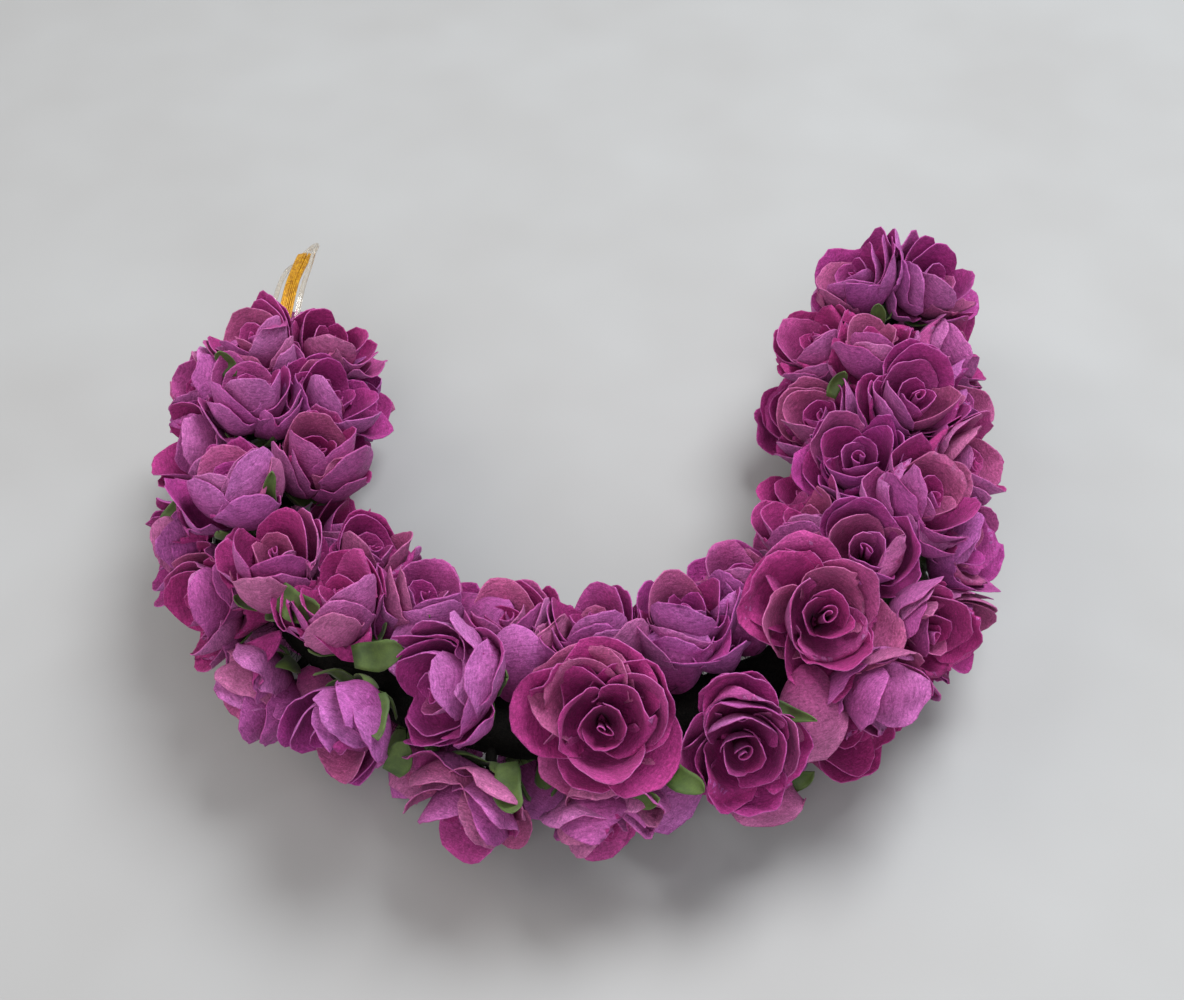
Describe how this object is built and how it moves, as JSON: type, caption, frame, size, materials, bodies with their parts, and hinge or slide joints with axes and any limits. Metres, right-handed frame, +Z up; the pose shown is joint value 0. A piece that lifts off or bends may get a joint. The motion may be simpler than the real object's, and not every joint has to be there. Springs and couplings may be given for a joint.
{
  "type": "rose gajra",
  "caption": "C-shaped hair garland of purple paper roses packed round a fuzzy dark band, with a clear elastic loop and gold thread at one end.",
  "frame": {"origin": "middle of the garland's outline on the surface that it lies on, cords left out", "axes": "+Z up from the surface, +X across the two arms, +Y towards the open side of the C"},
  "size_m": [0.1372, 0.1179, 0.0357],
  "materials": {
    "rose_paper": "matt fibrous mulberry paper, dyed purple, paler at the cut edges",
    "fuzzy_band": "fuzzy dark band with small green paper calyxes on stems",
    "clear_cord": "clear elastic cord",
    "gold_thread": "bundle of shiny gold thread"
  },
  "bodies": {
    "root": {"band_and_calyxes": "fuzzy_band", "elastic_loop": "clear_cord", "gold_thread": "gold_thread", "rose_end_01": "rose_paper", "rose_end_02": "rose_paper", "rose_inner_01": "rose_paper", "rose_inner_02": "rose_paper", "rose_inner_03": "rose_paper", "rose_inner_04": "rose_paper", "rose_inner_05": "rose_paper", "rose_inner_06": "rose_paper", "rose_inner_07": "rose_paper", "rose_inner_08": "rose_paper", "rose_inner_09": "rose_paper", "rose_inner_10": "rose_paper", "rose_inner_11": "rose_paper", "rose_inner_12": "rose_paper", "rose_inner_13": "rose_paper", "rose_lower_inner_01": "rose_paper", "rose_lower_inner_02": "rose_paper", "rose_lower_inner_03": "rose_paper", "rose_lower_outer_01": "rose_paper", "rose_lower_outer_02": "rose_paper", "rose_lower_outer_03": "rose_paper", "rose_lower_outer_04": "rose_paper", "rose_lower_outer_05": "rose_paper", "rose_lower_outer_06": "rose_paper", "rose_outer_01": "rose_paper", "rose_outer_02": "rose_paper", "rose_outer_03": "rose_paper", "rose_outer_04": "rose_paper", "rose_outer_05": "rose_paper", "rose_outer_06": "rose_paper", "rose_outer_07": "rose_paper", "rose_outer_08": "rose_paper", "rose_outer_09": "rose_paper", "rose_outer_10": "rose_paper", "rose_outer_11": "rose_paper", "rose_outer_12": "rose_paper", "rose_top_01": "rose_paper", "rose_top_02": "rose_paper", "rose_top_03": "rose_paper", "rose_top_04": "rose_paper", "rose_top_05": "rose_paper", "rose_top_06": "rose_paper", "rose_top_07": "rose_paper", "rose_top_08": "rose_paper", "rose_top_09": "rose_paper", "rose_top_10": "rose_paper", "rose_top_11": "rose_paper", "rose_top_12": "rose_paper", "rose_top_13": "rose_paper", "rose_top_14": "rose_paper", "rose_under_01": "rose_paper", "rose_under_02": "rose_paper", "rose_under_03": "rose_paper", "rose_under_04": "rose_paper", "rose_under_05": "rose_paper", "rose_under_06": "rose_paper", "rose_under_07": "rose_paper"}
  },
  "joints": []
}
